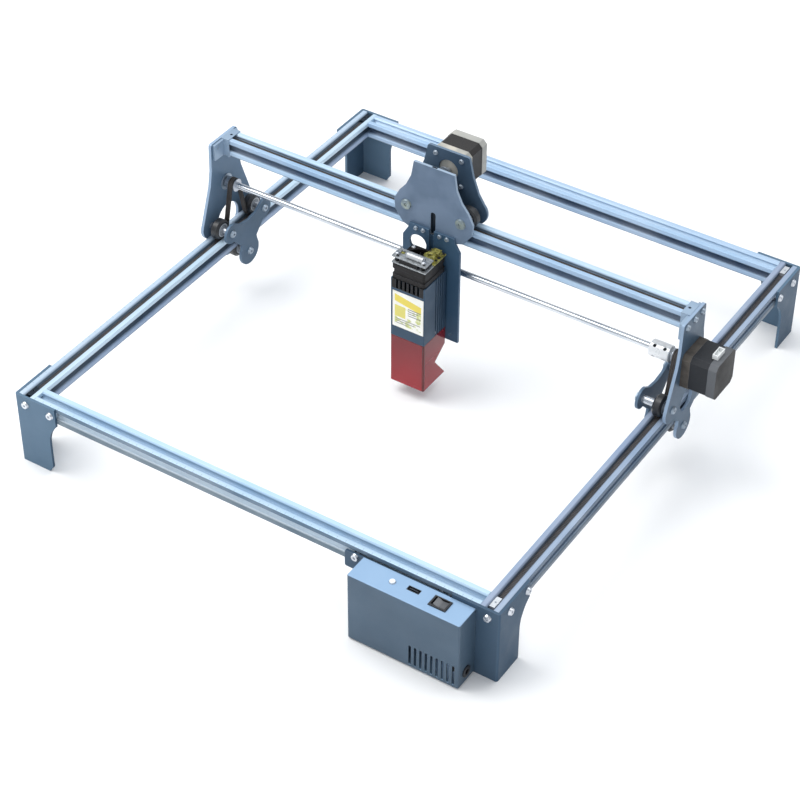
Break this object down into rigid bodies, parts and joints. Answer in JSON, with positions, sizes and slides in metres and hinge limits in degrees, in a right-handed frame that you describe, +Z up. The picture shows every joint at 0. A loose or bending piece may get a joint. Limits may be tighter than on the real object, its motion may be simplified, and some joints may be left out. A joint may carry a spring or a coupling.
{
  "type": "desktop laser cutter",
  "caption": "Open-frame desktop laser cutter: a rolling gantry and carriage move a shielded laser head with a fan over a flat work area inside an extrusion frame.",
  "frame": {"origin": "on the table, at the centre of the rectangular base frame", "axes": "+X to the machine's right along the front rail, +Y to its back along the side rails, +Z up"},
  "size_m": [0.6206, 0.6669, 0.273],
  "materials": {
    "rail_anodised": "satin blue-grey anodised",
    "slate_sheet": "satin slate blue powder coat",
    "box_paint": "satin slate blue powder coat",
    "screw_steel": "bright zinc plated",
    "spacer_metal": "turned",
    "shaft_steel": "ground and polished",
    "drive_metal": "turned",
    "belt_rubber": "moulded, toothed",
    "wheel_plastic": "moulded",
    "motor_shell": "satin black with metal end caps",
    "connector_white": "moulded",
    "board_green": "lacquered circuit board",
    "port_metal": "plated",
    "black_plastic": "moulded",
    "button_plastic": "moulded",
    "head_metal": "dark slate anodised",
    "barrel_metal": "turned",
    "label_film": "printed film",
    "shield_tint": "tinted clear acrylic",
    "knob_metal": "black anodised, knurled"
  },
  "bodies": {
    "base_frame": {"rail_left": "rail_anodised", "rail_right": "rail_anodised", "rail_front": "rail_anodised", "rail_back": "rail_anodised", "leg_front_left": "slate_sheet", "leg_front_right": "slate_sheet", "leg_back_left": "slate_sheet", "leg_back_right": "slate_sheet", "frame_screws": "screw_steel", "slot_nuts": "screw_steel", "y_belts": "belt_rubber", "belt_clamps": "screw_steel", "box_cover": "box_paint", "box_base": "slate_sheet", "control_board": "board_green", "usb_port": "port_metal", "power_inlet": "black_plastic", "switch_housing": "black_plastic"},
    "rocker": {"switch_rocker": "black_plastic"},
    "button": {"reset_button": "button_plastic"},
    "gantry": {"gantry_beam": "rail_anodised", "y_plate_outer_left": "slate_sheet", "y_plate_outer_right": "slate_sheet", "y_plate_inner_left": "slate_sheet", "y_plate_inner_right": "slate_sheet", "beam_brackets": "slate_sheet", "gantry_bolts": "screw_steel", "y_spacers": "spacer_metal", "y_motor": "motor_shell", "y_motor_connector": "connector_white", "rod_bearing": "shaft_steel", "gantry_belts": "belt_rubber"},
    "drive_shaft": {"drive_rods": "shaft_steel", "shaft_coupling": "drive_metal", "drive_pulleys": "drive_metal"},
    "y_wheel_left_front": {"y_wheel_left_front": "wheel_plastic"},
    "y_wheel_left_back": {"y_wheel_left_back": "wheel_plastic"},
    "y_wheel_left_low": {"y_wheel_left_low": "wheel_plastic"},
    "y_wheel_right_front": {"y_wheel_right_front": "wheel_plastic"},
    "y_wheel_right_back": {"y_wheel_right_back": "wheel_plastic"},
    "y_wheel_right_low": {"y_wheel_right_low": "wheel_plastic"},
    "carriage": {"x_plate_front": "slate_sheet", "x_plate_rear": "slate_sheet", "x_carriage_bolts": "screw_steel", "x_spacers": "spacer_metal", "x_motor": "motor_shell", "x_belt_loop": "belt_rubber", "laser_bracket": "slate_sheet"},
    "x_pulley": {"x_pulley": "drive_metal"},
    "x_wheel_left": {"x_wheel_left": "wheel_plastic"},
    "x_wheel_right": {"x_wheel_right": "wheel_plastic"},
    "x_wheel_low": {"x_wheel_low": "wheel_plastic"},
    "laser_head": {"heat_sink": "head_metal", "laser_barrel": "barrel_metal", "head_label": "label_film", "fan_frame": "black_plastic", "driver_board": "board_green"},
    "fan_rotor": {"fan_rotor": "black_plastic"},
    "eye_shield": {"eye_shield": "shield_tint"},
    "clamp_knob": {"clamp_knob": "knob_metal"}
  },
  "joints": [
    {"name": "y_travel", "type": "slide", "parent": "base_frame", "child": "gantry", "axis": [0, 1, 0], "range_m": [-0.2545, 0.1655]},
    {"name": "x_travel", "type": "slide", "parent": "gantry", "child": "carriage", "axis": [1, 0, 0], "range_m": [-0.1955, 0.2145]},
    {"name": "focus_slide", "type": "slide", "parent": "carriage", "child": "laser_head", "axis": [0, 0, 1], "range_m": [-0.004, 0.03]},
    {"name": "clamp_turn", "type": "hinge", "parent": "laser_head", "child": "clamp_knob", "pos_m": [-0.0095, 0.038, 0.095], "axis": [0, 1, 0], "range_deg": [-180, 180]},
    {"name": "shield_pull", "type": "slide", "parent": "laser_head", "child": "eye_shield", "axis": [0, 0, 1], "range_m": [-0.01, 0]},
    {"name": "fan_spin", "type": "hinge", "parent": "laser_head", "child": "fan_rotor", "pos_m": [-0.0095, 0.007, 0.1602], "axis": [0, 0, 1], "continuous": true},
    {"name": "rod_spin", "type": "hinge", "parent": "gantry", "child": "drive_shaft", "pos_m": [0, 0.0445, 0.1415], "axis": [1, 0, 0], "range_deg": [-2400, 2400]},
    {"name": "x_pulley_spin", "type": "hinge", "parent": "carriage", "child": "x_pulley", "pos_m": [-0.0095, 0.0505, 0.25], "axis": [0, 1, 0], "range_deg": [-2000, 2000]},
    {"name": "rocker_tilt", "type": "hinge", "parent": "base_frame", "child": "rocker", "pos_m": [0.232, -0.331, 0.0805], "axis": [0, -1, 0], "range_deg": [0, 18]},
    {"name": "button_press", "type": "slide", "parent": "base_frame", "child": "button", "axis": [0, 0, 1], "range_m": [-0.0012, 0], "stiffness_N_per_m": 300, "springref_m": 0.002},
    {"name": "y_wheel_left_front_roll", "type": "hinge", "parent": "gantry", "child": "y_wheel_left_front", "pos_m": [-0.275, 0.0145, 0.09885], "axis": [1, 0, 0], "range_deg": [-1500, 1500]},
    {"name": "y_wheel_left_back_roll", "type": "hinge", "parent": "gantry", "child": "y_wheel_left_back", "pos_m": [-0.275, 0.0745, 0.09885], "axis": [1, 0, 0], "range_deg": [-1500, 1500]},
    {"name": "y_wheel_left_low_roll", "type": "hinge", "parent": "gantry", "child": "y_wheel_left_low", "pos_m": [-0.275, 0.0445, 0.05815], "axis": [1, 0, 0], "range_deg": [-1500, 1500]},
    {"name": "y_wheel_right_front_roll", "type": "hinge", "parent": "gantry", "child": "y_wheel_right_front", "pos_m": [0.275, 0.0145, 0.09885], "axis": [1, 0, 0], "range_deg": [-1500, 1500]},
    {"name": "y_wheel_right_back_roll", "type": "hinge", "parent": "gantry", "child": "y_wheel_right_back", "pos_m": [0.275, 0.0745, 0.09885], "axis": [1, 0, 0], "range_deg": [-1500, 1500]},
    {"name": "y_wheel_right_low_roll", "type": "hinge", "parent": "gantry", "child": "y_wheel_right_low", "pos_m": [0.275, 0.0445, 0.05815], "axis": [1, 0, 0], "range_deg": [-1500, 1500]},
    {"name": "x_wheel_left_roll", "type": "hinge", "parent": "carriage", "child": "x_wheel_left", "pos_m": [-0.0425, 0.0505, 0.21085], "axis": [0, 1, 0], "range_deg": [-1300, 1300]},
    {"name": "x_wheel_right_roll", "type": "hinge", "parent": "carriage", "child": "x_wheel_right", "pos_m": [0.0235, 0.0505, 0.21085], "axis": [0, 1, 0], "range_deg": [-1300, 1300]},
    {"name": "x_wheel_low_roll", "type": "hinge", "parent": "carriage", "child": "x_wheel_low", "pos_m": [-0.0095, 0.0505, 0.17015], "axis": [0, 1, 0], "range_deg": [-1300, 1300]}
  ],
  "couplings": [
    {"joint": "rod_spin", "follows": "y_travel", "rad_per_m": 157.08},
    {"joint": "x_pulley_spin", "follows": "x_travel", "rad_per_m": -157.08},
    {"joint": "y_wheel_left_front_roll", "follows": "y_travel", "rad_per_m": -96.62},
    {"joint": "y_wheel_left_back_roll", "follows": "y_travel", "rad_per_m": -96.62},
    {"joint": "y_wheel_left_low_roll", "follows": "y_travel", "rad_per_m": 96.62},
    {"joint": "y_wheel_right_front_roll", "follows": "y_travel", "rad_per_m": -96.62},
    {"joint": "y_wheel_right_back_roll", "follows": "y_travel", "rad_per_m": -96.62},
    {"joint": "y_wheel_right_low_roll", "follows": "y_travel", "rad_per_m": 96.62},
    {"joint": "x_wheel_left_roll", "follows": "x_travel", "rad_per_m": 96.62},
    {"joint": "x_wheel_right_roll", "follows": "x_travel", "rad_per_m": 96.62},
    {"joint": "x_wheel_low_roll", "follows": "x_travel", "rad_per_m": -96.62}
  ]
}
